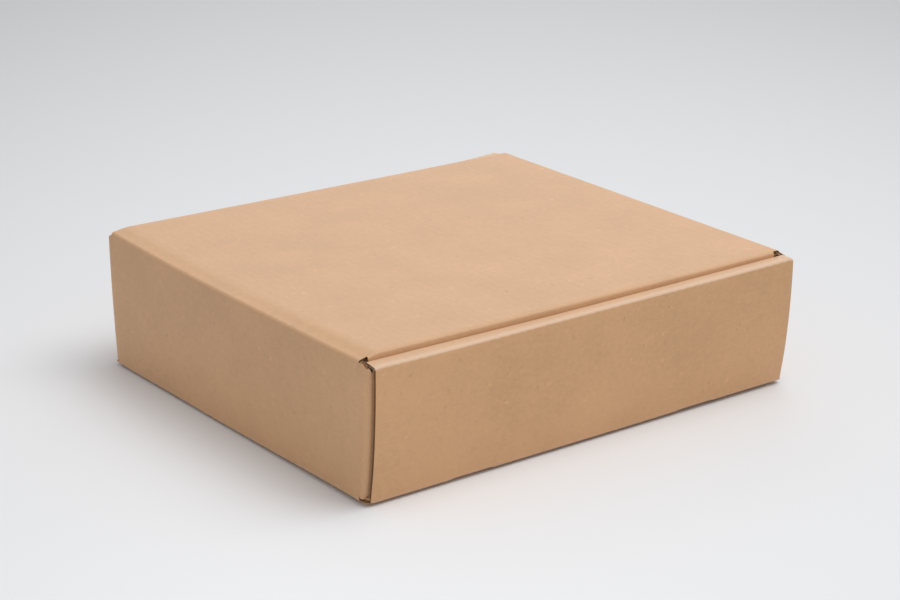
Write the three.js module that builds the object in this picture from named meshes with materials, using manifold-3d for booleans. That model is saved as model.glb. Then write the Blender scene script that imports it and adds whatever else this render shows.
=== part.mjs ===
// A flat mailer box for wine bottles, folded from one die-cut sheet of brown corrugated board.
// It is a roll-end box with a tuck-in lid. Its two long walls are rolled: each goes up from the
// base, folds over at the top and comes down inside, with tabs that lock into slots in the base.
// The lid is the same sheet: it turns over from the top of one short wall, and its flaps go
// down inside the other three.
//
// Millimetres, +Z up. The origin is on the floor under the middle of the box.
// +X runs from the hinge wall to the tuck wall, and the rolled walls stand at -Y and +Y.
import * as THREE from 'three';
import { mergeVertices } from 'three/addons/utils/BufferGeometryUtils.js';
import Module from 'manifold-3d';

// Overall size of the closed box, outside
const length = 328;
const width = 292; // over the rolled walls' bottom folds
const height = 90;

// The board and its folds
const board = 3; // one thickness of fine single-wall board
const foldRadius = 3; // outside of the folds at the base, the hinge and the tuck flap
const flapFoldRadius = 1.5; // outside of the tighter folds at the lid's dust flaps
const cornerRadius = 3.3; // outside of the upright folds to the corner flaps
const layerGap = 0.3; // air between boards that lie on each other

// Rolled walls
const lean = 6; // how far the top of each rolled wall stands out past its bottom fold
const rollRadius = 2.5; // outside of the two folds along the top
const rollEndInset = 3.7; // from the outside of a short wall to the rolled wall's end
const rollDrop = 3; // top of the rolled and tuck walls below the lid's top

// Tabs on the rolled walls' inner panels, and their slots in the base
const tabWidth = 29;
const tabSpacing = 175; // between the middles of the two tabs of one wall
const tabClearance = 0.3;

// Corner flaps, held between the two boards of each rolled wall
const cornerFlapLength = 85;
const cornerFlapTaper = 4; // how far their top edge drops along their length

// Lid
const hingeGap = 0.3; // between the hinge wall and the lid, along the mitre of their fold
const lidClearance = 0.4; // between a dust flap and the rolled wall beside it
const dustFlapDepth = 45; // below the lid's underside
const dustFlapTaper = 12; // how far each end slants in over that depth
const dustFlapCorner = 8;
const dustHingeNotch = 4.5; // from the outside of the hinge wall to the dust flap's fold
const dustTuckNotch = 6; // from the outside of the tuck flap's fold to the dust flap's fold
const tuckClearance = 0.6; // between the tuck flap's fold and the tuck wall
const tuckFlapDepth = 40; // below the lid's underside
const tuckFlapCorner = 18;
const tuckSideInset = 9; // tuck flap's side in from the edge of the lid
const tuckSwingRoom = 0.4; // left at the tuck wall as the flap's lower edge swings past

// Finish of the board
const kraftBrown = 0xd8b394;

// Smoothness of the curved outlines
const arcSteps = 6;
const wallSteps = 8;

// Places that follow from the sizes above
const hingeX = -length / 2;
const tuckX = length / 2;
const halfWidth = width / 2;
const rollTop = height - rollDrop;
const rollEnd = length / 2 - rollEndInset;
const lidUnderside = height - board;
const flapOuterDepth = board + layerGap; // corner flap's outer face, in from the outer panel's
const innerPanelDepth = 2 * (board + layerGap); // inner panel's hidden face, measured the same way
const rollThickness = innerPanelDepth + board;
const lidHalfWidth = halfWidth + lean - rollThickness - lidClearance;
const lidCrestY = lidHalfWidth - flapFoldRadius;
const lidEndX = tuckX - board - tuckClearance;
const tuckLean = tuckFlapLean();

const wasm = await Module();
wasm.setup();

// Turns a closed three.js geometry into a solid that can be joined and cut
function toSolid(geometry) {
  const bare = geometry.clone();
  bare.deleteAttribute('normal');
  bare.deleteAttribute('uv');
  const merged = mergeVertices(bare, 1e-4);
  return new wasm.Manifold(new wasm.Mesh({
    numProp: 3,
    vertProperties: new Float32Array(merged.attributes.position.array),
    triVerts: new Uint32Array(merged.index.array),
  }));
}

// Turns a solid back into a geometry with flat-shaded faces
function toGeometry(solid) {
  const mesh = solid.getMesh();
  const geometry = new THREE.BufferGeometry();
  geometry.setAttribute('position', new THREE.BufferAttribute(mesh.vertProperties, 3));
  geometry.setIndex(new THREE.BufferAttribute(mesh.triVerts, 1));
  geometry.computeVertexNormals();
  return geometry;
}

const joined = (solids) => solids.reduce((whole, solid) => whole.add(solid));

function extruded(points, depth, steps = 1) {
  const shape = Array.isArray(points) ? new THREE.Shape(points) : points;
  return new THREE.ExtrudeGeometry(shape, { depth, steps, bevelEnabled: false, curveSegments: arcSteps });
}

// A section drawn in Y and Z, drawn out along X
function alongX(points, fromX, toX) {
  const axes = [new THREE.Vector3(0, 1, 0), new THREE.Vector3(0, 0, 1), new THREE.Vector3(1, 0, 0)];
  const turn = new THREE.Matrix4().makeBasis(...axes);
  return toSolid(extruded(points, toX - fromX).applyMatrix4(turn).translate(fromX, 0, 0));
}

// A section drawn in X and Z, drawn out along Y, the same distance either side of the middle
function alongY(points, half) {
  const axes = [new THREE.Vector3(1, 0, 0), new THREE.Vector3(0, 0, 1), new THREE.Vector3(0, -1, 0)];
  const turn = new THREE.Matrix4().makeBasis(...axes);
  return toSolid(extruded(points, 2 * half).applyMatrix4(turn).translate(0, half, 0));
}

function boxBetween(low, high) {
  const size = high.map((value, axis) => value - low[axis]);
  const middle = high.map((value, axis) => (value + low[axis]) / 2);
  return toSolid(new THREE.BoxGeometry(...size).translate(...middle));
}

// Points of an arc, with angles in degrees
function arc(centreX, centreY, radius, from, to) {
  return Array.from({ length: arcSteps + 1 }, (unused, step) => {
    const angle = THREE.MathUtils.degToRad(from + ((to - from) * step) / arcSteps);
    return new THREE.Vector2(centreX + radius * Math.cos(angle), centreY + radius * Math.sin(angle));
  });
}

const point = (x, y) => new THREE.Vector2(x, y);

// How far a rolled wall's boards stand out at height z: the lower half curves, the upper half is upright
function leanAt(z) {
  const share = Math.max(0, z - foldRadius) / (rollTop - foldRadius);
  return lean * share * (2 - share);
}

// Points up one face of a rolled wall, a given depth in from the outside of its outer panel
function wallFace(depth, lowZ, highZ) {
  return Array.from({ length: wallSteps + 1 }, (unused, step) => {
    const z = lowZ + ((highZ - lowZ) * step) / wallSteps;
    return point(halfWidth - depth + leanAt(z), z);
  });
}

// Half the section, drawn on +Y, and its mirror image, as one closed outline
function bothSides(half) {
  return [...half, ...half.map((p) => point(-p.x, p.y)).reverse()];
}

// Base, both outer panels, both top strips and both inner panels, in Y and Z
function rollSection() {
  const outerY = halfWidth + leanAt(rollTop - rollRadius);
  const innerY = outerY - rollThickness;
  const innerLowZ = board + layerGap;
  return bothSides([
    ...arc(halfWidth - foldRadius, foldRadius, foldRadius, -90, 0),
    ...wallFace(0, foldRadius, rollTop - rollRadius).slice(1),
    ...arc(outerY - rollRadius, rollTop - rollRadius, rollRadius, 0, 90).slice(1),
    ...arc(innerY + rollRadius, rollTop - rollRadius, rollRadius, 90, 180),
    ...wallFace(rollThickness, innerLowZ, rollTop - rollRadius).reverse().slice(1),
    ...wallFace(innerPanelDepth, innerLowZ, rollTop - board),
    ...wallFace(board, board, rollTop - board).reverse(),
  ]);
}

// Bottom folds of the hinge wall and the tuck wall with the base between them, in X and Z
function endSection() {
  const stub = foldRadius + 2 * board;
  return [
    point(hingeX, stub),
    ...arc(hingeX + foldRadius, foldRadius, foldRadius, 180, 270),
    ...arc(tuckX - foldRadius, foldRadius, foldRadius, 270, 360),
    point(tuckX, stub),
    point(tuckX - board, stub),
    point(tuckX - board, board),
    point(hingeX + board, board),
    point(hingeX + board, stub),
  ];
}

// A short wall with its two corner flaps, seen from above as a U that opens towards +X
function endWallPlan() {
  const flapEnd = hingeX + cornerFlapLength;
  const outerY = halfWidth - flapOuterDepth;
  const innerRadius = Math.max(cornerRadius - board, 0.1);
  const centreX = hingeX + cornerRadius;
  const outer = [point(flapEnd, outerY), ...arc(centreX, outerY - cornerRadius, cornerRadius, 90, 180)];
  const inner = [
    point(hingeX + board, outerY - board - innerRadius),
    ...arc(hingeX + board + innerRadius, outerY - board - innerRadius, innerRadius, 180, 90),
    point(flapEnd, outerY - board),
  ];
  const mirrored = (points) => points.map((p) => point(p.x, -p.y)).reverse();
  return [...outer, ...mirrored(outer), ...mirrored(inner), ...inner];
}

// The U stands up from the base and leans out with the rolled walls that hold its flaps
function endWall() {
  const lowZ = board + layerGap;
  const plan = extruded(endWallPlan(), rollTop - lowZ, wallSteps).translate(0, 0, lowZ);
  const corners = plan.attributes.position;
  for (let i = 0; i < corners.count; i += 1) {
    corners.setY(i, corners.getY(i) + Math.sign(corners.getY(i)) * leanAt(corners.getZ(i)));
  }
  const flapTop = rollTop - board - layerGap;
  const aboveFlaps = alongY([
    point(hingeX + rollEndInset - layerGap, rollTop + board),
    point(hingeX + rollEndInset - layerGap, flapTop),
    point(hingeX + cornerFlapLength + board, flapTop - cornerFlapTaper),
    point(hingeX + cornerFlapLength + board, rollTop + board),
  ], halfWidth + 2 * lean);
  return toSolid(plan).subtract(aboveFlaps);
}

// Upper edge of the hinge wall, rounded over to the mitre where the lid turns
function hingeWallTop() {
  const offset = hingeGap / 2;
  const bite = THREE.MathUtils.radToDeg(Math.asin(offset / foldRadius));
  const section = [
    point(hingeX, rollTop - board),
    point(hingeX + board, rollTop - board),
    point(hingeX + board, lidUnderside - offset * Math.SQRT2),
    ...arc(hingeX + foldRadius, height - foldRadius, foldRadius, 135 + bite, 180),
  ];
  return alongY(section, lidCrestY);
}

// One box per tab, grown by the clearance on its sides where it stands for the slot
function lockTabs(lowZ, highZ, grow) {
  const outerY = halfWidth - innerPanelDepth + grow;
  const innerY = halfWidth - rollThickness - grow;
  const halfTab = tabWidth / 2 + grow;
  const tabs = [];
  for (const middleX of [-tabSpacing / 2, tabSpacing / 2]) {
    tabs.push(boxBetween([middleX - halfTab, innerY, lowZ], [middleX + halfTab, outerY, highZ]));
    tabs.push(boxBetween([middleX - halfTab, -outerY, lowZ], [middleX + halfTab, -innerY, highZ]));
  }
  return joined(tabs);
}

function tray() {
  const rolledWalls = alongX(rollSection(), -rollEnd, rollEnd);
  const base = alongY(endSection(), halfWidth - flapOuterDepth - cornerRadius);
  const hingeWall = endWall();
  const tuckWall = hingeWall.mirror([1, 0, 0]);
  const sheet = joined([rolledWalls, base, hingeWall, tuckWall, hingeWallTop()]);
  const slots = lockTabs(-board, board + layerGap / 2, tabClearance);
  const tabs = lockTabs(tabClearance, 2 * board, 0);
  return sheet.subtract(slots).add(tabs);
}

// Angle of the tuck flap: it leans in just enough for its lower edge to swing past the tuck wall
function tuckFlapLean() {
  const reach = lidEndX - hingeX;
  const excess = Math.hypot(reach, board + tuckFlapDepth) - reach;
  return Math.atan2(Math.max(excess - tuckClearance + tuckSwingRoom, 0), tuckFlapDepth);
}

// Lid panel from the mitre at the hinge, with the tuck flap folded down at its far end, in X and Z
function lidSection() {
  const offset = hingeGap / 2;
  const bite = THREE.MathUtils.radToDeg(Math.asin(offset / foldRadius));
  const flapPoint = (down, out) => point(
    lidEndX - board + out * Math.cos(tuckLean) - down * Math.sin(tuckLean),
    lidUnderside - out * Math.sin(tuckLean) - down * Math.cos(tuckLean),
  );
  return [
    point(hingeX + board + offset * Math.SQRT2, lidUnderside),
    flapPoint(0, 0),
    flapPoint(tuckFlapDepth, 0),
    flapPoint(tuckFlapDepth, board),
    ...arc(lidEndX - foldRadius, height - foldRadius, foldRadius, 0, 90),
    ...arc(hingeX + foldRadius, height - foldRadius, foldRadius, 90, 135 - bite),
  ];
}

// Outline of the lid and its tuck flap seen from the end, in Y and Z: the flap is narrower than the
// lid below its fold, and its lower corners are round
function tuckOutline() {
  const halfFlap = lidHalfWidth - tuckSideInset;
  const lowZ = lidUnderside - tuckFlapDepth;
  const foldZ = lidUnderside - foldRadius;
  const cornerY = halfFlap - tuckFlapCorner;
  const cornerZ = lowZ + tuckFlapCorner;
  return bothSides([
    ...arc(cornerY, cornerZ, tuckFlapCorner, 270, 360),
    point(halfFlap, foldZ),
    point(halfWidth + lean, foldZ),
    point(halfWidth + lean, height + board),
  ]);
}

// Lid panel with a dust flap folded down at each side, in Y and Z, keeping clear of the rolled walls
function dustSection() {
  const depth = rollThickness + lidClearance;
  const lowZ = lidUnderside - dustFlapDepth;
  const foldZ = height - flapFoldRadius;
  return bothSides([
    point(0, height),
    ...arc(lidCrestY, foldZ, flapFoldRadius, 90, 0),
    ...wallFace(depth, lowZ, lidUnderside).reverse(),
    ...wallFace(depth + board, lowZ, lidUnderside),
  ]);
}

// Outline of a dust flap seen from the side: both ends slant in and the lower corners are round
function dustOutline() {
  const fromX = hingeX + dustHingeNotch;
  const toX = lidEndX - dustTuckNotch;
  const lowZ = lidUnderside - dustFlapDepth;
  const slant = THREE.MathUtils.radToDeg(Math.atan2(dustFlapDepth, dustFlapTaper));
  const inFromEnd = dustFlapTaper + dustFlapCorner * Math.tan(THREE.MathUtils.degToRad(slant / 2));
  const cornerZ = lowZ + dustFlapCorner;
  return [
    point(fromX, height + board),
    point(fromX, lidUnderside),
    ...arc(fromX + inFromEnd, cornerZ, dustFlapCorner, 270 - slant, 270),
    ...arc(toX - inFromEnd, cornerZ, dustFlapCorner, 270, 270 + slant),
    point(toX, lidUnderside),
    point(toX, height + board),
  ];
}

function lid() {
  const beyond = board; // past the piece on every side, so that a cut goes right through
  const panel = alongY(lidSection(), lidCrestY).intersect(alongX(tuckOutline(), hingeX - beyond, tuckX));
  const flapSection = alongX(dustSection(), hingeX, lidEndX);
  const dustFlaps = flapSection.intersect(alongY(dustOutline(), halfWidth + lean));
  return panel.add(dustFlaps);
}

function piece(name, solid) {
  const material = new THREE.MeshStandardMaterial({ color: kraftBrown, roughness: 0.85, metalness: 0 });
  const mesh = new THREE.Mesh(toGeometry(solid), material);
  mesh.name = name;
  return mesh;
}

const box = new THREE.Group();
box.add(piece('tray', tray()), piece('lid', lid()));

export default box;
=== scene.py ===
# %% [markdown]
# A closed mailer box for wine, folded from one sheet of brown corrugated board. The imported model
# gives every size and the hinge of the lid. This script keeps those places and makes the sheet
# itself: its soft folds, cut edges, bowed walls and kraft paper finish.

# %% Load the frame
import math
import bmesh
import bpy
from mathutils import Matrix, Vector


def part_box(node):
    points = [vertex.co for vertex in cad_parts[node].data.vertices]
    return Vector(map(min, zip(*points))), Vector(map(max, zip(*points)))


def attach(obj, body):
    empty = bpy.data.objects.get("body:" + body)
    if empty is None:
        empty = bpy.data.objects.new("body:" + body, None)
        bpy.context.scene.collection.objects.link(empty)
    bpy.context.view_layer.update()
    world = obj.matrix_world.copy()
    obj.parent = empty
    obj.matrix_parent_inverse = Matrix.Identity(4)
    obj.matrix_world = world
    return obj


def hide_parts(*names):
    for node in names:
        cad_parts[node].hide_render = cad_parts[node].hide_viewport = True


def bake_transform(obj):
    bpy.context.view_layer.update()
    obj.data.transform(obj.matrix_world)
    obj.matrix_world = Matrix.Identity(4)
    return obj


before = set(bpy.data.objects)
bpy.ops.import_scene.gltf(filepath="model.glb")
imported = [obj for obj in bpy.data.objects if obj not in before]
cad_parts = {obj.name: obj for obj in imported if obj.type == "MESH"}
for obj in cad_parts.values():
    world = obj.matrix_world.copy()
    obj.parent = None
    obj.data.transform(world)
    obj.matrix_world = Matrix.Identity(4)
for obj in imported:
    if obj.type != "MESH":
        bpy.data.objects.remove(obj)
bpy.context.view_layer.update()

# %% [markdown]
# The camera stands where the photograph was taken from. Its place, turn and focal length were
# worked out from the box's own edges, so they are plain numbers here.

# %% Camera
CAMERA_PLACE = (-0.8599, -1.1639, 0.5611)
CAMERA_YAW = 36.60
CAMERA_PITCH = 19.44
CAMERA_ROLL = -0.17
CAMERA_LENS = 94.95

camera_data = bpy.data.cameras.new("photo_camera")
camera_data.lens = CAMERA_LENS
camera_data.sensor_width = 36.0
camera_data.sensor_fit = "HORIZONTAL"
camera = bpy.data.objects.new("photo_camera", camera_data)
bpy.context.scene.collection.objects.link(camera)
turn = Matrix.Rotation(math.radians(-CAMERA_YAW), 4, "Z")
tilt = Matrix.Rotation(math.radians(90 - CAMERA_PITCH), 4, "X")
roll = Matrix.Rotation(math.radians(CAMERA_ROLL), 4, "Z")
camera.matrix_world = Matrix.Translation(CAMERA_PLACE) @ turn @ tilt @ roll
bpy.context.scene.camera = camera
print("camera at", CAMERA_PLACE)

# %% [markdown]
# The driving sizes of the sheet, in metres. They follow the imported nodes: the outside of the
# hinge wall and the end of the lid in X, the bottom folds of the rolled walls in Y, the lid's top
# in Z. Single-wall board of this kind is 3 mm thick.

# %% Sizes of the sheet
MM = 0.001
tray_low = Vector(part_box("tray")[0])
lid_high = Vector(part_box("lid")[1])
BOARD = 3 * MM
LEAN = 6 * MM
HINGE_X = tray_low.x
BASE_Y = 146 * MM
TOP_Z = lid_high.z
ROLL_TOP = TOP_Z - BOARD
FOLD = 1.5 * MM
LID_END = lid_high.x
print("hinge wall at", round(HINGE_X, 4), "lid top at", round(TOP_Z, 4), "lid end at", round(LID_END, 4))

# %% [markdown]
# A folded sheet is modelled the way it is folded: one panel first, then its edges are extruded
# round each fold and along the next panel. These helpers select edges by place and extrude them
# step by step along a path, and note how sharply each row is creased.

# %% Helpers for folding a sheet
TOUCH = 0.001 * MM
HAIR = 0.01 * MM


def select_alone(sheet):
    """Makes one sheet the only selected and active object."""
    bpy.ops.object.select_all(action="DESELECT")
    sheet.select_set(True)
    bpy.context.view_layer.objects.active = sheet


def start_panel(name, low, high, columns, rows, height):
    """One flat panel of the sheet, as an even grid, left in edit mode."""
    bpy.ops.object.select_all(action="DESELECT")
    middle = ((low[0] + high[0]) / 2, (low[1] + high[1]) / 2, height)
    bpy.ops.mesh.primitive_grid_add(x_subdivisions=columns, y_subdivisions=rows, size=1, location=middle)
    panel = bpy.context.object
    panel.name = name
    panel.scale = (high[0] - low[0], high[1] - low[1], 1)
    bpy.ops.object.transform_apply(location=True, rotation=False, scale=True)
    for part in ("roll", "flap", "crease"):
        panel.vertex_groups.new(name=part)
    bpy.ops.object.mode_set(mode="EDIT")
    bpy.ops.mesh.select_mode(type="EDGE")
    return panel


def at(value, place):
    """True where a coordinate is at a place, within a thousandth of a millimetre."""
    return abs(value - place) < TOUCH


def pick_edges(panel, test):
    """Selects only the border edges whose two ends pass the test."""
    bpy.ops.mesh.select_all(action="DESELECT")
    mesh = bmesh.from_edit_mesh(panel.data)
    for edge in mesh.edges:
        if edge.is_boundary and all(test(vertex.co) for vertex in edge.verts):
            edge.select_set(True)
    bmesh.update_edit_mesh(panel.data)
    return sum(edge.select for edge in mesh.edges)


def note_rows(group, weight):
    """Writes a weight for the selected points into one of the panel's vertex groups."""
    bpy.ops.object.vertex_group_set_active(group=group)
    bpy.context.tool_settings.vertex_group_weight = weight
    bpy.ops.object.vertex_group_assign()


def pull_edges(path, weights, part=None):
    """Extrudes the selected edges along a path of points, the first being where they are."""
    for here, there, weight in zip(path, path[1:], weights):
        step = tuple(b - a for a, b in zip(here, there))
        bpy.ops.mesh.extrude_region_move(TRANSFORM_OT_translate={"value": step})
        note_rows("crease", weight)
        if part:
            note_rows(part, 1.0)


def weight_of(panel, vertex, group):
    """The weight that a point has in one of the panel's vertex groups, or 0."""
    number = panel.vertex_groups[group].index
    held = [item.weight for item in vertex.groups if item.group == number]
    return held[0] if held else 0.0


def bend(centre, radius, start, stop, steps):
    """Points round a fold, in a plane: angles in degrees, the first point left out."""
    angles = [math.radians(start + (stop - start) * i / steps) for i in range(1, steps + 1)]
    return [(centre[0] + radius * math.cos(a), centre[1] + radius * math.sin(a)) for a in angles]


def straight(start, end, steps):
    """Points along a straight panel, the first point left out."""
    shares = [i / steps for i in range(1, steps + 1)]
    return [(start[0] + (end[0] - start[0]) * s, start[1] + (end[1] - start[1]) * s) for s in shares]


def crease_rows(parts):
    """Joins bends and straights into one path, with a crease weight for each row of points."""
    path, weights = [], []
    for points, weight in parts:
        path += points
        weights += [weight] * len(points)
    return path, weights


def smooth(value, low, high):
    """Eases from 0 at low to 1 at high."""
    t = min(max((value - low) / (high - low), 0.0), 1.0)
    return t * t * (3 - 2 * t)


# %% [markdown]
# The two long walls are rolled: the sheet goes up outside, turns flat over the top and comes
# down inside, and the boards inside push it outwards. The real wall bulges most at its ends,
# where a third board lies in it. One function gives that lean for any point of the tray.

# %% How the rolled walls stand out
LEAN_MIDDLE = 5.0 * MM
LEAN_LEFT = 6.8 * MM
LEAN_RIGHT = 7.6 * MM
INNER_LINE, OUTER_LINE = 137 * MM, 145 * MM
FAR_EASE = 2.6 * MM
EASE_ALONG = 60 * MM, 164 * MM
EASE_ACROSS = 120 * MM, 139 * MM
SLOT_MIDDLE = 87.5 * MM
SLOT_HALF = 15 * MM
TAB_ROOM = 1.8 * MM


def in_slot(x, room=0.0):
    """True over the length of a lock tab, with some room at its ends."""
    return abs(abs(x) - SLOT_MIDDLE) < SLOT_HALF + room


def lean_profile(z):
    """The share of the lean at a height: most of it comes low down, as in a bowed wall."""
    share = min(max(z - FOLD, 0.0) / (ROLL_TOP - FOLD), 1.0)
    return share * (2 - share)


def outer_lean(x):
    """The lean of the outer panel's top, which grows towards both ends."""
    end = LEAN_LEFT if x < 0 else LEAN_RIGHT
    return LEAN_MIDDLE + (end - LEAN_MIDDLE) * min(abs(x / HINGE_X), 1.0) ** 3


def wall_lean(x, y, z):
    """The lean of any point: even on the inner boards, uneven on the outer panel."""
    share = smooth(abs(y), INNER_LINE, OUTER_LINE)
    return (LEAN + (outer_lean(x) - LEAN) * share) * lean_profile(z)


def far_corner_ease(x, y):
    """The corner at the far end of the hinge wall leans less than the others."""
    return FAR_EASE * smooth(-x, *EASE_ALONG) * smooth(y, *EASE_ACROSS)


print("lean at the top, mm:", [round(outer_lean(x * MM) / MM, 2) for x in (-164, 0, 164)])

# %% [markdown]
# Nothing on a used box is quite flat. The lid is a little warped, highest at the far end of its
# hinge side, and the bottom folds stand off the floor by a hair, lowest between the lock tabs.
# That gap is what makes the dark contact line below a carton.

# %% How the lid and the bottom folds rise
LID_EDGE_Y = 141 * MM
RISE_HINGE = 0.5 * MM
RISE_FAR_LEFT = 3.2 * MM
RISE_NEAR_LEFT = 1.2 * MM
RISE_RIGHT = -0.5 * MM
FOLD_DROP = 1.5 * MM
NEAR_FOLD_DROP = 1.0 * MM
FOLD_DROP_REACH = 14 * MM
ROLL_LIFT, ROLL_LIFT_MORE = 1.9 * MM, 0.6 * MM
SLOT_LIFT = 0.4 * MM
HINGE_LIFT, HINGE_LIFT_MORE = 1.5 * MM, 1.1 * MM
HINGE_NICK = 0.2 * MM
NICK_FROM, NICK_TO = 10 * MM, 41 * MM
LIFT_INWARDS = 133 * MM, 143 * MM
LIFT_ENDWAYS = 152 * MM, 161 * MM


def lid_rise(x, y):
    """How far the real lid stands above or below the plain one: it is a little warped."""
    across = min(max(y / LID_EDGE_Y, -1.0), 1.0)
    hinge_side = RISE_HINGE + (RISE_FAR_LEFT if across > 0 else RISE_NEAR_LEFT) * across ** 2
    tuck_side = RISE_RIGHT * (1 - across) / 2
    along = min(max((x - HINGE_X) / (LID_END - HINGE_X), 0.0), 1.0)
    pulled_down = FOLD_DROP + NEAR_FOLD_DROP * smooth(-y, 0, LID_EDGE_Y)
    near_fold = 1 - smooth(x, HINGE_X, HINGE_X + FOLD_DROP_REACH)
    return hinge_side * (1 - along) ** 1.3 + tuck_side * along - pulled_down * near_fold


def edge_lift(x, y):
    """How far the bottom folds stand off the floor, easing to nothing a few boards further in."""
    long_fold = ROLL_LIFT + ROLL_LIFT_MORE * smooth(x, 20 * MM, 160 * MM)
    if in_slot(x):
        long_fold += SLOT_LIFT
    hinge_fold = HINGE_LIFT + HINGE_LIFT_MORE * smooth(-y, 0, 120 * MM)
    if NICK_FROM < y < NICK_TO:
        hinge_fold -= HINGE_NICK
    near_long = smooth(abs(y), *LIFT_INWARDS)
    near_end = smooth(abs(x), *LIFT_ENDWAYS)
    return max(long_fold * near_long, (hinge_fold if x < 0 else long_fold) * near_end)


print("lid's rise at its far hinge corner, mm:", round(lid_rise(-150 * MM, LID_EDGE_Y) / MM, 2))

# %% [markdown]
# The base is the panel that all the others grow from, so it comes first. Slabs set edge to edge
# would be quicker, but a box shows how it is folded at every edge. The grid is fine, because the
# long walls need many columns to show the faint waves that the flutes leave along their top
# crease. Slots for the lock tabs are cut along two of its rows.

# %% Base panel
COLUMNS = 240
ROWS = 56
FOLD_Y = BASE_Y - FOLD
FOLD_X = abs(HINGE_X) - FOLD
row_step = 2 * FOLD_Y / ROWS
CORNER_Y = FOLD_Y - row_step

tray_sheet = start_panel("tray_sheet", (-FOLD_X, -FOLD_Y), (FOLD_X, FOLD_Y), COLUMNS, ROWS, 0.0)
print("base grid", COLUMNS, "by", ROWS, "corner line at", round(CORNER_Y / MM, 2), "mm")

# %% [markdown]
# Each rolled wall is pulled from a long edge of the base along one path: the bottom fold, the
# outer panel, the two tight folds of the flat top, and the inner panel down to the base. A row
# close above the bottom fold keeps its soft shading out of the flat panel.

# %% Rolled walls
ROLL_THICK = 9.6 * MM
ROLL_FOLD = 1.7 * MM
WALL_GAP = 0.3 * MM


def rolled_wall(side):
    """Pulls one long edge of the base up, over and down again, and counts its edges."""
    inner_y = BASE_Y - ROLL_THICK
    parts = [
        (bend((FOLD_Y, FOLD), FOLD, -90, 0, 5), 0.5),
        (straight((BASE_Y, FOLD), (BASE_Y, BOARD), 1), 0.0),
        (straight((BASE_Y, BOARD), (BASE_Y, ROLL_TOP - ROLL_FOLD), 12), 0.0),
        (bend((BASE_Y - ROLL_FOLD, ROLL_TOP - ROLL_FOLD), ROLL_FOLD, 0, 90, 4), 0.6),
        (straight((BASE_Y - ROLL_FOLD, ROLL_TOP), (inner_y + ROLL_FOLD, ROLL_TOP), 3), 0.3),
        (bend((inner_y + ROLL_FOLD, ROLL_TOP - ROLL_FOLD), ROLL_FOLD, 90, 180, 4), 0.6),
        (straight((inner_y, ROLL_TOP - ROLL_FOLD), (inner_y, BOARD + WALL_GAP), 9), 0.0),
    ]
    path, weights = crease_rows(parts)
    points = [(0, side * FOLD_Y, 0)] + [(0, side * y, z) for y, z in path]
    count = pick_edges(tray_sheet, lambda co: at(co.y, side * FOLD_Y) and at(co.z, 0))
    pull_edges(points, weights, part="roll")
    return count


for side in (-1, 1):
    print("rolled wall", side, "pulled from", rolled_wall(side), "edges")

# %% [markdown]
# Four tabs on the inner panels lock into slots in the base and hold the rolled walls down. The
# tabs are pulled from the panels' lower edges, and the slots are faces taken out of the base just
# below them. Deleting whole faces of the grid is cleaner than a Boolean cut, and needs no clean-up.

# %% Lock tabs and slots
for side in (-1, 1):
    tab_y = side * (BASE_Y - ROLL_THICK)
    pick_edges(tray_sheet, lambda co: at(co.y, tab_y) and at(co.z, BOARD + WALL_GAP) and in_slot(co.x))
    pull_edges([(0, tab_y, BOARD + WALL_GAP), (0, tab_y, 0.5 * MM)], [0.0], part="roll")

mesh = bmesh.from_edit_mesh(tray_sheet.data)
slot_faces = []
for face in mesh.faces:
    centre = face.calc_center_median()
    last_row = CORNER_Y - row_step < abs(centre.y) < CORNER_Y
    if centre.z < HAIR and last_row and in_slot(centre.x, TAB_ROOM):
        slot_faces.append(face)
bmesh.ops.delete(mesh, geom=slot_faces, context="FACES")
bmesh.update_edit_mesh(tray_sheet.data)
print("slot faces removed:", len(slot_faces))

# %% [markdown]
# The short walls are pulled from the other two edges, between the two corner lines. The hinge
# wall stops below the soft fold of the lid, with a short raw edge left standing at each end, and
# the tuck wall ends in one raw edge. Their lowest row is left free of the corner flaps.

# %% Hinge wall and tuck wall
SEAM = 6 * MM
STUB_HEIGHT = 5.0 * MM
WALL_ROWS = 10
LIFT = BOARD + WALL_GAP + 0.1 * MM


def end_wall(end, top):
    """Pulls a short edge of the base round its fold and up to a height."""
    wall_x = end * abs(HINGE_X)
    parts = [
        (bend((FOLD_X, FOLD), FOLD, -90, 0, 5), 0.5),
        (straight((abs(HINGE_X), FOLD), (abs(HINGE_X), LIFT), 1), 0.0),
        (straight((abs(HINGE_X), LIFT), (abs(HINGE_X), top), WALL_ROWS), 0.0),
    ]
    path, weights = crease_rows(parts)
    points = [(end * FOLD_X, 0, 0)] + [(end * x, 0, z) for x, z in path]
    pick_edges(
        tray_sheet,
        lambda co: at(co.x, end * FOLD_X) and at(co.z, 0) and abs(co.y) < CORNER_Y + HAIR,
    )
    pull_edges(points, weights)
    if end < 0:
        shoulder = CORNER_Y - row_step - HAIR
        for side in (-1, 1):
            pick_edges(
                tray_sheet,
                lambda co: at(co.x, wall_x) and at(co.z, top) and co.y * side > shoulder,
            )
            pull_edges([(wall_x, 0, top), (wall_x, 0, top + STUB_HEIGHT)], [0.0])
    return wall_x


print("hinge wall pulled up at", round(end_wall(-1, TOP_Z - SEAM), 4))
print("tuck wall pulled up at", round(end_wall(1, ROLL_TOP), 4))

# %% [markdown]
# The sides of the short walls go round the corners and run on as flaps inside the rolled walls,
# which is what holds such a box together without glue. The flap keeps the wall's rows and is
# pulled round a soft corner, so the corner shows no seam.

# %% Corner flaps
CORNER = 3.3 * MM
FLAP_END = 82 * MM


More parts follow.
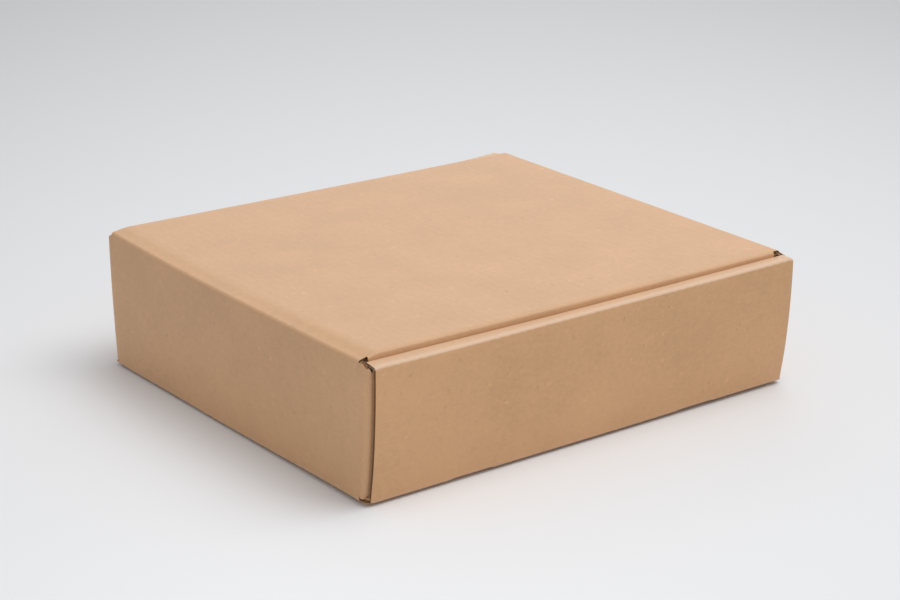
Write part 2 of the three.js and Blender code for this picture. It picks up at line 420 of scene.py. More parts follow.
def corner_flap(end, side):
    """Pulls one side of a short wall round its corner and along the inside of the rolled wall."""
    wall_x = end * abs(HINGE_X)
    centre = (abs(HINGE_X) - CORNER, CORNER_Y)
    parts = [
        (bend(centre, CORNER, 0, 90, 5), 0.3),
        (straight((centre[0], CORNER_Y + CORNER), (FLAP_END, CORNER_Y + CORNER), 7), 0.0),
    ]
    path, weights = crease_rows(parts)
    points = [(wall_x, side * CORNER_Y, 0)] + [(end * x, side * y, 0) for x, y in path]
    pick_edges(
        tray_sheet,
        lambda co: at(co.x, wall_x) and at(co.y, side * CORNER_Y) and co.z > LIFT - TOUCH,
    )
    pull_edges(points, weights, part="flap")


for end in (-1, 1):
    for side in (-1, 1):
        corner_flap(end, side)
bpy.ops.object.mode_set(mode="OBJECT")
print("sheet of the tray so far:", len(tray_sheet.data.polygons), "faces")

# %% [markdown]
# Now the flat-sided tray is pushed into the shape of the real one: walls lean out, corner flaps
# duck under the rolled top, the ends of the rolled walls stop short of the corners, and the
# bottom folds stand a hair above the floor, which is what makes their dark contact line.

# %% Shape the tray
FLAP_TOP = ROLL_TOP - BOARD - 0.5 * MM
ROLL_END = abs(HINGE_X) - 3.7 * MM
FLAP_TURN = abs(HINGE_X) - 2.6 * MM
RAW_DROP = 2.7 * MM
TUCK_DROP = 2.2 * MM
STUB_START = 140.55 * MM
FLAP_REACH = 1.3 * MM
SLOT_ROOM = 0.3 * MM
STUB_SHARE = 0.7
LIFT_FADE = 4 * MM, 30 * MM


def shape_tray(co, on_roll, in_flap):
    """Moves one point of the flat-sided tray to its place on the real one."""
    x, y, z = co
    side = 1 if y > 0 else -1
    outer = abs(y)
    if on_roll:
        x *= ROLL_END / FOLD_X
    if in_flap and abs(x) < FLAP_TURN:
        z = min(z, FLAP_TOP)
    slot_row = z < TOUCH and at(outer, CORNER_Y)
    if slot_row and not on_roll and in_slot(x, TAB_ROOM + 1 * MM):
        y += side * SLOT_ROOM
    if in_flap and abs(x) > FLAP_TURN and z < LIFT + 0.1 * MM:
        z -= FLAP_REACH
    if x < HINGE_X + 4 * MM and z > TOP_Z - SEAM + 1 * MM and not on_roll:
        raw_drop = RAW_DROP * smooth(outer, CORNER_Y - row_step, CORNER_Y + CORNER)
        z += STUB_SHARE * lid_rise(x, y) - raw_drop
    if x > abs(HINGE_X) - 4 * MM and z > ROLL_TOP - 1 * MM and not on_roll:
        z -= TUCK_DROP * smooth(outer, CORNER_Y - 2 * row_step, CORNER_Y)
    through = (outer - BASE_Y + ROLL_THICK) / ROLL_THICK if on_roll else 1.0
    lean = wall_lean(x, y, z) - through * far_corner_ease(x, y) * lean_profile(z)
    z += edge_lift(x, y) * (1 - smooth(z, *LIFT_FADE))
    y += side * lean * min(outer / CORNER_Y, 1.0)
    raw_edge = x < HINGE_X + 0.1 * MM and z > TOP_Z - SEAM - 0.1 * MM
    if raw_edge and abs(outer - CORNER_Y + row_step) < HAIR:
        y = side * STUB_START
    return x, y, z


for vertex in tray_sheet.data.vertices:
    on_roll = weight_of(tray_sheet, vertex, "roll") > 0.5
    in_flap = weight_of(tray_sheet, vertex, "flap") > 0.5
    vertex.co = shape_tray(vertex.co, on_roll, in_flap)
print("tray shaped, box:", [round(value, 4) for value in tray_sheet.bound_box[6]])

# %% [markdown]
# The strip along each rolled wall's top needs its own care: its outer crease wanders with the
# flutes below the paper, and the whole strip sags a little half way along. Two slow sines make
# the wave uneven, so it needs no random numbers.

# %% Wavy crease along the rolled tops
FLUTE = 6.5 * MM
WAVE_HEIGHT = 0.16 * MM
STRIP_SAG = 0.8 * MM
STRIP_ENDS = 1.7 * MM
INNER_RISE = 1.3 * MM
END_DROOP = 0.7 * MM
near_top = ROLL_TOP - 3.5 * MM


def crease_wave(x):
    """A wave of one flute's length whose place and height wander slowly."""
    turns = 2 * math.pi * x / FLUTE
    wander = 0.8 * math.sin(turns * 0.137)
    height = 0.55 + 0.45 * math.sin(turns * 0.091 + 1.0)
    return height * math.sin(turns + wander)


for vertex in tray_sheet.data.vertices:
    x, y, z = vertex.co
    if z > near_top and abs(y) > FOLD_Y - ROLL_THICK and abs(x) < ROLL_END + HAIR:
        near = smooth(z, near_top, ROLL_TOP - 1 * MM)
        outside = smooth(abs(y), BASE_Y + 2.5 * MM, BASE_Y + 4.5 * MM)
        across = smooth(abs(y), BASE_Y - ROLL_THICK + 5 * MM, BASE_Y + 6 * MM)
        outer_edge = STRIP_ENDS * min(abs(x / HINGE_X), 1.0) ** 4 - STRIP_SAG
        inner_edge = INNER_RISE * smooth(-x, 0, abs(HINGE_X))
        droop = END_DROOP * smooth(abs(x), ROLL_END - 3 * MM, ROLL_END)
        shift = inner_edge + (outer_edge - droop - inner_edge) * across
        vertex.co.z = z + near * (WAVE_HEIGHT * outside * crease_wave(x) + shift)
print("waves along the crease, one each", FLUTE / MM, "mm")

# %% [markdown]
# Corrugated board is two flat papers with a wavy one between them. The sheet gets its thickness
# from a Solidify modifier, inwards from its outer face and thinner at the creases, where the
# flutes are crushed. The new rim faces are the cut edges: they are inset twice and the middle is
# sunk as a groove, so that the two papers stand out as on the real board.

# %% Thickness and cut edges
LINER = 0.22 * MM
GROOVE = 0.9 * MM
GROOVE_SIDE = 0.08 * MM
# share of the crease lightening (stretched paper and painted highlight) on folds other than the rolled
# tops
LESS_WEAR_AND_HIGHLIGHT = 0.2
SMOOTH_BELOW = math.radians(40)
MERGE_BELOW = 0.02 * MM


def give_thickness(sheet):
    """Turns a sheet into board of full thickness with grooved cut edges."""
    select_alone(sheet)
    # crease lightening, partly stretched paper and partly painted highlight: full on the rolled tops,
    # which face the light, less on the other folds
    creases = sheet.data.attributes.new("crease_wear_and_highlight", "FLOAT", "POINT")
    for vertex in sheet.data.vertices:
        rolled_top = weight_of(sheet, vertex, "roll") > 0.5 and vertex.co.z > ROLL_TOP / 2
        share = 1.0 if rolled_top else LESS_WEAR_AND_HIGHLIGHT
        creases.data[vertex.index].value = share * weight_of(sheet, vertex, "crease")
    for slot in range(3):
        sheet.data.materials.append(None)
    thick = sheet.modifiers.new("thickness", "SOLIDIFY")
    thick.thickness = BOARD
    thick.offset = -1
    thick.use_even_offset = True
    thick.vertex_group = "crease"
    thick.invert_vertex_group = True
    thick.thickness_vertex_group = 0.0
    thick.use_rim = True
    thick.material_offset_rim = 1
    bpy.ops.object.modifier_apply(modifier="thickness")
    bpy.ops.object.mode_set(mode="EDIT")
    bpy.ops.mesh.select_mode(type="FACE")
    mesh = bmesh.from_edit_mesh(sheet.data)
    for face in mesh.faces:
        face.select_set(face.material_index == 1)
    bmesh.update_edit_mesh(sheet.data)
    bpy.ops.mesh.inset(thickness=LINER, depth=0, use_boundary=True, use_even_offset=False)
    bpy.ops.mesh.inset(thickness=GROOVE_SIDE, depth=0, use_boundary=True, use_even_offset=False)
    bpy.ops.transform.shrink_fatten(value=-GROOVE)
    # the sunk middle of each cut edge gets slot 2, the groove's painted shade
    sheet.active_material_index = 2
    bpy.ops.object.material_slot_assign()
    bpy.ops.object.mode_set(mode="OBJECT")
    bpy.ops.object.shade_smooth_by_angle(angle=SMOOTH_BELOW)
    print("highest point, mm:", round(max(vertex.co.z for vertex in sheet.data.vertices) / MM, 2))
    return len(sheet.data.polygons)


def face_outwards(sheet, sample, outward):
    """Makes the sheet's faces agree, with the one nearest to a sample point facing outward."""
    select_alone(sheet)
    bpy.ops.object.mode_set(mode="EDIT")
    bpy.ops.mesh.select_all(action="SELECT")
    bpy.ops.mesh.remove_doubles(threshold=MERGE_BELOW)
    bpy.ops.mesh.normals_make_consistent(inside=False)
    bpy.ops.object.mode_set(mode="OBJECT")
    nearest = min(sheet.data.polygons, key=lambda face: (face.center - Vector(sample)).length)
    if nearest.normal.dot(Vector(outward)) < 0:
        sheet.data.flip_normals()


face_outwards(tray_sheet, (0, 0, 0), (0, 0, -1))
print("tray board:", give_thickness(tray_sheet), "faces")

# %% [markdown]
# The lid is folded from its own panel in the same way, because it moves as a piece of its own.
# Its long edges turn down tightly into dust flaps with slanted ends, and its far edge turns down
# into the tuck flap, which leans in so that it can swing past the tuck wall.

# %% Lid panel and flaps
LID_SEAM_X = HINGE_X + SEAM
LID_CREST = 140.5 * MM
FLAP_FOLD = 1.6 * MM
TUCK_FOLD = 1.9 * MM
DUST_DEPTH = 45 * MM
DUST_TAPER = 12 * MM
TUCK_DEPTH = 40 * MM
LID_COLUMNS = 150
LID_ROWS = 84
lid_fold_x = LID_END - TUCK_FOLD
lid_column = (lid_fold_x - LID_SEAM_X) / LID_COLUMNS
DUST_STOP = lid_fold_x - 2 * lid_column

lid_sheet = start_panel(
    "lid_sheet", (LID_SEAM_X, -LID_CREST), (lid_fold_x, LID_CREST), LID_COLUMNS, LID_ROWS, TOP_Z
)


def dust_flap(side):
    """Pulls a long edge of the lid round its fold and down inside a rolled wall."""
    fold_z = TOP_Z - FLAP_FOLD
    low_z = TOP_Z - BOARD - DUST_DEPTH
    outer_y = LID_CREST + FLAP_FOLD
    parts = [
        (bend((LID_CREST, fold_z), FLAP_FOLD, 90, 0, 5), 0.5),
        (straight((outer_y, fold_z), (outer_y, low_z), 14), 0.0),
    ]
    path, weights = crease_rows(parts)
    points = [(0, side * LID_CREST, TOP_Z)] + [(0, side * y, z) for y, z in path]
    pick_edges(lid_sheet, lambda co: at(co.y, side * LID_CREST) and co.x < DUST_STOP + HAIR)
    pull_edges(points, weights)


def tuck_flap():
    """Pulls the lid's far edge round its fold and down inside the tuck wall."""
    fold_z = TOP_Z - TUCK_FOLD
    low_z = TOP_Z - BOARD - TUCK_DEPTH
    parts = [
        (bend((lid_fold_x, fold_z), TUCK_FOLD, 90, 0, 6), 0.5),
        (straight((LID_END, fold_z), (LID_END, low_z), 14), 0.0),
    ]
    path, weights = crease_rows(parts)
    points = [(lid_fold_x, 0, TOP_Z)] + [(x, 0, z) for x, z in path]
    pick_edges(lid_sheet, lambda co: at(co.x, lid_fold_x) and at(co.z, TOP_Z))
    pull_edges(points, weights)


dust_flap(-1)
dust_flap(1)
tuck_flap()
bpy.ops.object.mode_set(mode="OBJECT")
print("sheet of the lid:", len(lid_sheet.data.polygons), "faces")

# %% [markdown]
# The flaps are trimmed by moving their points: the dust flaps' ends slant in and their lower
# corners are rounded, and the tuck flap narrows below its fold, with large round corners. Moving
# points keeps the rows of the folds whole, which cutting the corners off would not.

# %% Trim and set the flaps
DUST_CORNER = 8 * MM
TUCK_CORNER = 18 * MM
TUCK_SIDE = 9 * MM
TUCK_LEAN = math.radians(3.75)


def pulled_in(depth, full, corner):
    """How far a rounded corner takes an edge in, at a depth below the fold."""
    up = full - depth
    if up >= corner:
        return 0.0
    return corner - math.sqrt(max(corner ** 2 - (corner - up) ** 2, 0.0))


def shape_lid(co):
    """Moves one point of the lid: flap ends and corners are trimmed, then the panel is warped."""
    x, y, z = co
    side = 1 if y > 0 else -1
    below = TOP_Z - BOARD - z
    if abs(y) > LID_CREST + 0.9 * FLAP_FOLD and below > 0 and x < DUST_STOP + 0.1 * MM:
        middle = (LID_SEAM_X + DUST_STOP) / 2
        half = (DUST_STOP - LID_SEAM_X) / 2
        taken = DUST_TAPER * below / DUST_DEPTH + pulled_in(below, DUST_DEPTH, DUST_CORNER)
        x = middle + (x - middle) * (half - taken) / half
        y -= side * LEAN * (1 - lean_profile(z))
    if x > lid_fold_x + 0.9 * TUCK_FOLD and below > 0:
        full = LID_CREST
        inset = TUCK_SIDE * smooth(below, 0, 2.5 * MM) + pulled_in(below, TUCK_DEPTH, TUCK_CORNER)
        y *= (full - inset) / full
        x -= math.tan(TUCK_LEAN) * below
    return x, y, z + lid_rise(co[0], co[1])


for vertex in lid_sheet.data.vertices:
    vertex.co = shape_lid(vertex.co)
face_outwards(lid_sheet, (0, 0, TOP_Z), (0, 0, 1))
print("lid board:", give_thickness(lid_sheet), "faces")

# %% [markdown]
# Between the tray and the lid the sheet turns over in one soft fold. This short piece lies between the
# two, in the shape of the closed box. It starts as a single line of edges, what is left of a narrow
# strip, and is pulled up and over from there.

# %% Fold at the hinge
HINGE_FOLD = 2.2 * MM
STARTER = 1 * MM
fold_sheet = start_panel(
    "hinge_fold", (HINGE_X, -LID_CREST), (HINGE_X + STARTER, LID_CREST), 1, LID_ROWS, TOP_Z - SEAM
)
mesh = bmesh.from_edit_mesh(fold_sheet.data)
spare = [vertex for vertex in mesh.verts if vertex.co.x > HINGE_X + STARTER / 2]
bmesh.ops.delete(mesh, geom=spare, context="VERTS")
bmesh.update_edit_mesh(fold_sheet.data)
bpy.ops.mesh.select_all(action="SELECT")
print("the fold starts as one line,", round(2 * LID_CREST / MM), "mm long")

fold_parts = [
    (straight((HINGE_X, TOP_Z - SEAM), (HINGE_X, TOP_Z - HINGE_FOLD), 3), 0.0),
    (bend((HINGE_X + HINGE_FOLD, TOP_Z - HINGE_FOLD), HINGE_FOLD, 180, 90, 8), 0.4),
    (straight((HINGE_X + HINGE_FOLD, TOP_Z), (LID_SEAM_X, TOP_Z), 3), 0.0),
]
path, weights = crease_rows(fold_parts)
pull_edges([(HINGE_X, 0, TOP_Z - SEAM)] + [(x, 0, z) for x, z in path], weights)
bpy.ops.object.mode_set(mode="OBJECT")
for vertex in fold_sheet.data.vertices:
    x, y, z = vertex.co
    vertex.co.z = z + lid_rise(x, y) * smooth(z, TOP_Z - SEAM, TOP_Z)
face_outwards(fold_sheet, (HINGE_X, 0, TOP_Z - SEAM), (-1, 0, 0))
print("hinge fold:", give_thickness(fold_sheet), "faces")

# %% [markdown]
# The papers of the board are made with shader nodes. A few helpers keep that readable: one adds a
# node, one feeds a socket from a link or a plain value, and one does a sum with a Math node.

# %% Helpers for shader nodes
def add_node(tree, kind, x, y, **settings):
    """Adds one node at a place in the node editor."""
    node = tree.nodes.new(kind)
    node.location = (x, y)
    for key, setting in settings.items():
        setattr(node, key, setting)
    return node


def feed(tree, socket, source):
    """Links another node's output to a socket, or sets the socket to a plain value."""
    if isinstance(source, bpy.types.NodeSocket):
        tree.links.new(source, socket)
    else:
        socket.default_value = source


def math_node(tree, operation, first, second, x, y):
    """One sum: the two inputs can be links or plain numbers."""
    node = add_node(tree, "ShaderNodeMath", x, y, operation=operation)
    feed(tree, node.inputs[0], first)
    feed(tree, node.inputs[1], second)
    return node.outputs[0]


def size_of_axis(tree, vector, axis, x, y):
    """How strongly a vector points along one axis, whichever way."""
    split = add_node(tree, "ShaderNodeSeparateXYZ", x, y)
    tree.links.new(vector, split.inputs[0])
    return math_node(tree, "ABSOLUTE", split.outputs[axis], 0.0, x + 180, y)


print("node helpers ready")

# %% [markdown]
# Kraft liner is a plain brown paper with a cloudy tint, a fine mottle, short fibres and a few
# dark and pale flecks. The outside and the cut edges share it, so it is built once, as a node
# group. Noise on Object coordinates keeps the pattern in place when the lid turns.

# %% Kraft paper group
CLOUD_SCALE, CLOUD_GAIN = 22, 1.1
MOTTLE_SCALE, MOTTLE_GAIN = 240, 0.55
DARK_FLECK_SCALE, DARK_FLECK_ABOVE, DARK_FLECK_GAIN = 330, 0.70, -14.0
PALE_FLECK_SCALE, PALE_FLECK_ABOVE, PALE_FLECK_GAIN = 290, 0.69, 11.0


def kraft_paper_group():
    """Tints a brown with soft clouds, mottle, short fibres and a few flecks."""
    group = bpy.data.node_groups.new("kraft_paper", "ShaderNodeTree")
    face = group.interface
    face.new_socket("Brown", in_out="INPUT", socket_type="NodeSocketColor")
    for name in ("Cloud", "Fibre", "Fleck"):
        face.new_socket(name, in_out="INPUT", socket_type="NodeSocketFloat")
    face.new_socket("Color", in_out="OUTPUT", socket_type="NodeSocketColor")
    face.new_socket("Height", in_out="OUTPUT", socket_type="NodeSocketFloat")
    entry = add_node(group, "NodeGroupInput", -1400, 0)
    leave = add_node(group, "NodeGroupOutput", 900, 0)
    place = add_node(group, "ShaderNodeTexCoord", -1400, 300)

    def noise(scale, detail, stretch, y):
        mapping = add_node(group, "ShaderNodeMapping", -1200, y)
        mapping.inputs["Scale"].default_value = stretch
        group.links.new(place.outputs["Object"], mapping.inputs["Vector"])
        texture = add_node(group, "ShaderNodeTexNoise", -1000, y)
        texture.inputs["Scale"].default_value = scale
        texture.inputs["Detail"].default_value = detail
        group.links.new(mapping.outputs["Vector"], texture.inputs["Vector"])
        return texture.outputs["Fac"]

    def swing(source, gain, y):
        """A noise as a swing to both sides of zero."""
        away = math_node(group, "SUBTRACT", source, 0.5, -650, y)
        return math_node(group, "MULTIPLY", away, gain, -500, y)

    def flecks(source, above, gain, y):
        """Only the peaks of a noise, as small spots."""
        peak = math_node(group, "SUBTRACT", source, above, -800, y)
        peak = math_node(group, "MAXIMUM", peak, 0.0, -650, y)
        return math_node(group, "MULTIPLY", peak, gain, -500, y)

    cloudy = swing(noise(CLOUD_SCALE, 3, (1, 1, 1), 300), CLOUD_GAIN, 300)
    mottled = swing(noise(MOTTLE_SCALE, 4, (1, 1, 1), 0), MOTTLE_GAIN, 0)
    fibre_x = noise(900, 2, (1, 0.22, 0.6), -300)
    fibre_y = noise(1300, 2, (0.2, 1, 0.5), -600)
    fibres = math_node(group, "ADD", fibre_x, fibre_y, -650, -400)
    dark_noise = noise(DARK_FLECK_SCALE, 1, (1, 0.55, 0.8), -900)
    pale_noise = noise(PALE_FLECK_SCALE, 1, (0.6, 1, 0.9), -1200)
    dark = flecks(dark_noise, DARK_FLECK_ABOVE, DARK_FLECK_GAIN, -900)
    pale = flecks(pale_noise, PALE_FLECK_ABOVE, PALE_FLECK_GAIN, -1200)

    tint = math_node(group, "ADD", cloudy, mottled, -300, 200)
    tint = math_node(group, "MULTIPLY", tint, entry.outputs["Cloud"], -100, 200)
    fine = math_node(group, "SUBTRACT", fibres, 1.0, -500, -400)
    fine = math_node(group, "MULTIPLY", fine, entry.outputs["Fibre"], -300, -400)
    spots = math_node(group, "ADD", dark, pale, -300, -1000)
    spots = math_node(group, "MULTIPLY", spots, entry.outputs["Fleck"], -100, -1000)
    fine = math_node(group, "ADD", fine, spots, 100, -400)
    shade = math_node(group, "ADD", tint, fine, 250, 0)
    shade = math_node(group, "ADD", shade, 1.0, 400, 0)
    paint = add_node(group, "ShaderNodeVectorMath", 600, 100, operation="SCALE")
    group.links.new(entry.outputs["Brown"], paint.inputs[0])
    group.links.new(shade, paint.inputs["Scale"])
    group.links.new(paint.outputs["Vector"], leave.inputs["Color"])
    group.links.new(fibres, leave.inputs["Height"])
    return group


paper_group = kraft_paper_group()
print("node group:", paper_group.name, "with", len(paper_group.nodes), "nodes")

# %% [markdown]
# The flutes below the liner leave faint waves on it. They run along X on most panels and along Z
# on the two short walls, so the piece's own normal picks the direction.

# %% Flute shadow group
FACING = 0.75


def flute_shadow_group():
    """A wave from -1 to 1 that follows the flutes of the board."""
    group = bpy.data.node_groups.new("flute_shadow", "ShaderNodeTree")
    group.interface.new_socket("Pitch", in_out="INPUT", socket_type="NodeSocketFloat")
    group.interface.new_socket("Wave", in_out="OUTPUT", socket_type="NodeSocketFloat")
    entry = add_node(group, "NodeGroupInput", -900, 0)
    leave = add_node(group, "NodeGroupOutput", 700, 0)
    place = add_node(group, "ShaderNodeTexCoord", -900, 300)
    split = add_node(group, "ShaderNodeSeparateXYZ", -700, 200)
    group.links.new(place.outputs["Object"], split.inputs[0])
    endways = size_of_axis(group, place.outputs["Normal"], "X", -700, -300)
    short_wall = math_node(group, "GREATER_THAN", endways, FACING, -350, -300)
    along = add_node(group, "ShaderNodeMix", -150, 100, data_type="FLOAT")
    feed(group, along.inputs["Factor"], short_wall)
    feed(group, along.inputs[2], split.outputs["X"])
    feed(group, along.inputs[3], split.outputs["Z"])
    turns = math_node(group, "DIVIDE", along.outputs[0], entry.outputs["Pitch"], 50, 100)
    angle = math_node(group, "MULTIPLY", turns, 2 * math.pi, 200, 100)
    wave = math_node(group, "SINE", angle, 0.0, 350, 100)
    group.links.new(wave, leave.inputs["Wave"])
    return group


flute_group = flute_shadow_group()
print("node group:", flute_group.name, "with", len(flute_group.nodes), "nodes")

# %% [markdown]
# The outside is matt kraft, a little lighter along the creases: partly where a crease has stretched the
# paper, partly a painted highlight, most on the rolled tops. The cut edges are the same paper seen end
# on, rougher and darker, the darkening partly painted shade of the crevices they stand in; the groove is
# painted shade, darkest of all. The lightening of the creases comes from the sheet's own attribute,
# noted when it got its thickness.

# %% Board material
KRAFT = (0.630, 0.360, 0.178)
# cut edges' colour, darker partly as the paper seen end on and partly as painted shade of the crevices
# they sit in; also the pale inner paper in the groove
CUT_EDGE = (0.480, 0.300, 0.175)
# painted shade: the dark of the groove stands for the hollow between the liners lying in shade
GROOVE_SHADE_PAINT = (0.230, 0.115, 0.050)
# pale crease colour: partly stretched paper, partly a painted highlight
STRETCHED_AND_HIGHLIT = (0.800, 0.590, 0.440)
FLECK = 0.10
PAPER_IOR = 1.45


def board_material(name, brown, cloud, fibre, roughness, bump, flute_depth, sheen):
    material = bpy.data.materials.new(name)
    material.use_nodes = True
    tree = material.node_tree
    shader = tree.nodes["Principled BSDF"]
    shader.inputs["Roughness"].default_value = roughness
    shader.inputs["IOR"].default_value = PAPER_IOR
    shader.inputs["Specular IOR Level"].default_value = 0.5 if sheen else 0.1
    shader.inputs["Sheen Weight"].default_value = sheen
    shader.inputs["Sheen Roughness"].default_value = 0.45

    paper = add_node(tree, "ShaderNodeGroup", -700, 200, node_tree=paper_group)
    paper.inputs["Brown"].default_value = (*brown, 1)
    paper.inputs["Cloud"].default_value = cloud
    paper.inputs["Fibre"].default_value = fibre
    paper.inputs["Fleck"].default_value = FLECK
    # crease lightening, partly wear and partly painted highlight, mixed over the paper
    wear_and_highlight = add_node(tree, "ShaderNodeAttribute", -900, -100, attribute_name="crease_wear_and_highlight")
    worn_and_highlit = add_node(tree, "ShaderNodeMix", -450, 100, data_type="RGBA", name="worn_and_highlit_paper")
    feed(tree, worn_and_highlit.inputs["Factor"], wear_and_highlight.outputs["Fac"])
    feed(tree, worn_and_highlit.inputs[6], paper.outputs["Color"])
    feed(tree, worn_and_highlit.inputs[7], (*STRETCHED_AND_HIGHLIT, 1))
    tree.links.new(worn_and_highlit.outputs[2], shader.inputs["Base Color"])

    flutes = add_node(tree, "ShaderNodeGroup", -900, -400, node_tree=flute_group)
    flutes.inputs["Pitch"].default_value = FLUTE
    faint = math_node(tree, "MULTIPLY", flutes.outputs["Wave"], flute_depth, -700, -400)
    total = math_node(tree, "ADD", paper.outputs["Height"], faint, -500, -300)
    relief = add_node(tree, "ShaderNodeBump", -300, -300)
    relief.inputs["Strength"].default_value = 1.0
    relief.inputs["Distance"].default_value = bump
    tree.links.new(total, relief.inputs["Height"])
    tree.links.new(relief.outputs["Normal"], shader.inputs["Normal"])
    return material


# the third colour is the groove's painted shade
print("kraft", KRAFT, "cut edge", CUT_EDGE, "flute paper", GROOVE_SHADE_PAINT)

# %% [markdown]
# A cut across the flutes shows the inner paper as a wave between the liners. On the cuts that face up or
# down, that wave is drawn in the groove: pale where the wave crosses its middle, and painted shade of
# the hollows everywhere else.

# %% Flute section in the groove
SECTION_WIDTH = 0.42


def show_flute_section(material):
    """Draws the wave of the inner paper on cuts that face up or down."""
    tree = material.node_tree
    shader = tree.nodes["Principled BSDF"]
    waves = add_node(tree, "ShaderNodeGroup", -1100, 700, node_tree=flute_group)
    waves.inputs["Pitch"].default_value = FLUTE
    ridge = math_node(tree, "ABSOLUTE", waves.outputs["Wave"], 0.0, -900, 700)
    crossing = math_node(tree, "LESS_THAN", ridge, SECTION_WIDTH, -700, 700)
    place = add_node(tree, "ShaderNodeTexCoord", -1100, 950)
    upright = size_of_axis(tree, place.outputs["Normal"], "Z", -900, 950)
    level = math_node(tree, "GREATER_THAN", upright, FACING, -500, 950)
    both = math_node(tree, "MULTIPLY", level, crossing, -300, 800)
    section = add_node(tree, "ShaderNodeMix", -100, 500, data_type="RGBA")
    feed(tree, section.inputs["Factor"], both)
    feed(tree, section.inputs[6], tree.nodes["worn_and_highlit_paper"].outputs[2])
    feed(tree, section.inputs[7], (*CUT_EDGE, 1))
    tree.links.new(section.outputs[2], shader.inputs["Base Color"])


print("the inner paper takes up to", SECTION_WIDTH, "of the wave on each side")

# %% [markdown]
# Three materials cover the whole box: the outside, the cut edges of the liners, and the groove between
# them, painted dark as shade with the inner paper drawn in it. Each sheet already has its faces in these
# three slots.

# %% Kraft finishes
kraft_outside = board_material(
    "kraft_outside", KRAFT, cloud=0.20, fibre=0.12, roughness=0.42,
    bump=0.03 * MM, flute_depth=0.5, sheen=0.08,
)
kraft_cut_edge = board_material(
    "kraft_cut_edge", CUT_EDGE, cloud=0.20, fibre=0.22, roughness=0.95,
    bump=0.06 * MM, flute_depth=0.0, sheen=0.0,
)
flutes_and_groove_shade = board_material(
    "flutes_and_groove_shade", GROOVE_SHADE_PAINT, cloud=0.20, fibre=0.22, roughness=0.95,
    bump=0.06 * MM, flute_depth=0.0, sheen=0.0,
)
show_flute_section(flutes_and_groove_shade)
for sheet in (tray_sheet, lid_sheet, fold_sheet):
    for slot, material in enumerate((kraft_outside, kraft_cut_edge, flutes_and_groove_shade)):
        sheet.data.materials[slot] = material
print("materials:", kraft_outside.name, kraft_cut_edge.name, flutes_and_groove_shade.name)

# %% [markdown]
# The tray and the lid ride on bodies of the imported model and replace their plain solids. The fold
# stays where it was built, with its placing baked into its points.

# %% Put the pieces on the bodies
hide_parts("tray")
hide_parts("lid")
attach(tray_sheet, "tray")
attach(lid_sheet, "lid")
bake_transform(fold_sheet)
print("pieces placed")

# %% [markdown]
# The box stands on a plain pale floor, as on a sweep of studio paper. The light falls off to a light
# grey away from the box, and that falloff is painted into the floor's colour: a painted pool of light,
# brightest near the box and dimming with distance over an oval that lies along the line of sight. The
# lamps can then stay at a plain level.

# %% Pale floor
FLOOR_SIZE = 12
FLOOR_PAINT = (0.915, 0.926, 0.942)
LIGHT_POOL_MIDDLE = (-0.29, -0.27, 0)
LIGHT_POOL_RADII = (0.5, 0.98, 1)
LIGHT_POOL_REACH = 2.0
LIGHT_POOL_DIMMEST = 0.615


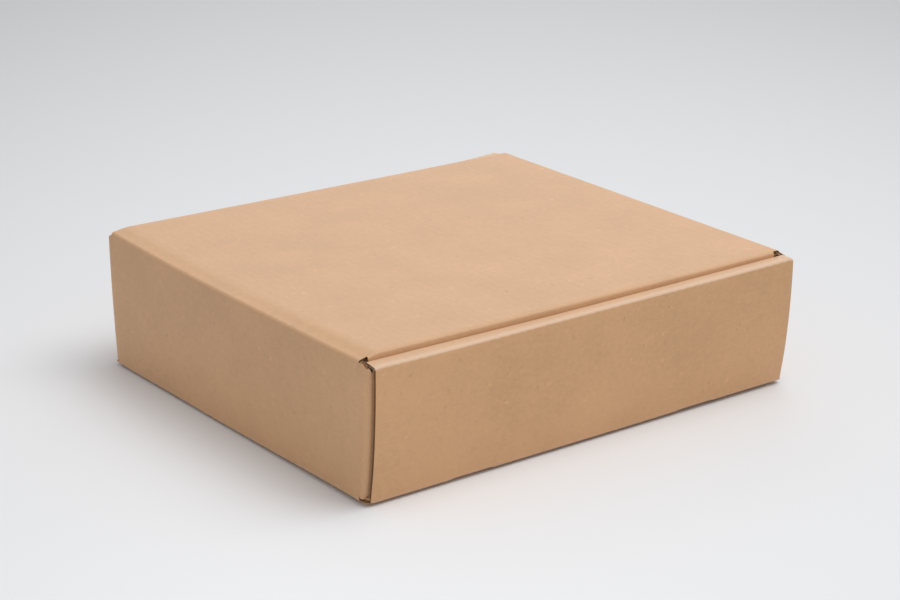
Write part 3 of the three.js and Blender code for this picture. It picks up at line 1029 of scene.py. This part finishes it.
def pale_floor_material():
    material = bpy.data.materials.new("pale_floor")
    material.use_nodes = True
    tree = material.node_tree
    shader = tree.nodes["Principled BSDF"]
    shader.inputs["Roughness"].default_value = 0.9
    shader.inputs["Specular IOR Level"].default_value = 0.1
    place = add_node(tree, "ShaderNodeTexCoord", -1100, 0)
    oval = add_node(tree, "ShaderNodeMapping", -900, 0, vector_type="TEXTURE")
    oval.inputs["Location"].default_value = LIGHT_POOL_MIDDLE
    oval.inputs["Rotation"].default_value = (0, 0, math.radians(-CAMERA_YAW))
    oval.inputs["Scale"].default_value = LIGHT_POOL_RADII
    tree.links.new(place.outputs["Object"], oval.inputs["Vector"])
    away = add_node(tree, "ShaderNodeVectorMath", -700, 0, operation="LENGTH")
    tree.links.new(oval.outputs["Vector"], away.inputs[0])
    # painted light: the floor's colour dims away from the box, a painted pool of light
    painted_falloff = add_node(tree, "ShaderNodeMapRange", -500, 0)
    painted_falloff.inputs["From Min"].default_value = 0.0
    painted_falloff.inputs["From Max"].default_value = LIGHT_POOL_REACH
    painted_falloff.inputs["To Min"].default_value = 1.0
    painted_falloff.inputs["To Max"].default_value = LIGHT_POOL_DIMMEST
    tree.links.new(away.outputs["Value"], painted_falloff.inputs["Value"])
    colour = add_node(tree, "ShaderNodeVectorMath", -250, 0, operation="SCALE")
    colour.inputs[0].default_value = FLOOR_PAINT
    tree.links.new(painted_falloff.outputs["Result"], colour.inputs["Scale"])
    tree.links.new(colour.outputs["Vector"], shader.inputs["Base Color"])
    return material


bpy.ops.mesh.primitive_plane_add(size=FLOOR_SIZE, location=(0, 0, 0))
floor = bpy.context.object
floor.name = "studio_floor"
floor.data.materials.append(pale_floor_material())
print("floor", FLOOR_SIZE, "m wide")

# %% [markdown]
# One large soft lamp stands high in front and to the right, so the left wall is in shade and the
# shadow falls to the left. A weaker one low behind gives the lid its soft haze, and an even sky
# fills the rest.

# %% Lamps and sky
KEY_PLACE, KEY_POWER = (0.66, -0.62, 2.2), 31.5
BACK_PLACE, BACK_POWER = (1.35, 1.9, 0.95), 7.5
LAMP_SIZE = 1.8
SKY_COLOUR, SKY_STRENGTH = (0.99, 0.99, 1.0), 0.54


def soft_lamp(name, place, target, power):
    lamp_data = bpy.data.lights.new(name, "AREA")
    lamp_data.shape = "SQUARE"
    lamp_data.size = LAMP_SIZE
    lamp_data.energy = power
    lamp = bpy.data.objects.new(name, lamp_data)
    bpy.context.scene.collection.objects.link(lamp)
    lamp.location = place
    lamp.rotation_euler = (Vector(target) - Vector(place)).to_track_quat("-Z", "Y").to_euler()
    return lamp


soft_lamp("key_lamp", KEY_PLACE, (0, 0, 0), KEY_POWER)
soft_lamp("back_lamp", BACK_PLACE, (0, 0, 0.05), BACK_POWER)
world = bpy.data.worlds.new("pale_sky")
bpy.context.scene.world = world
world.use_nodes = True
sky = world.node_tree.nodes["Background"]
sky.inputs["Color"].default_value = (*SKY_COLOUR, 1)
sky.inputs["Strength"].default_value = SKY_STRENGTH
bpy.context.scene.view_settings.view_transform = "Standard"
print("key lamp at", KEY_PLACE, "back lamp at", BACK_PLACE)
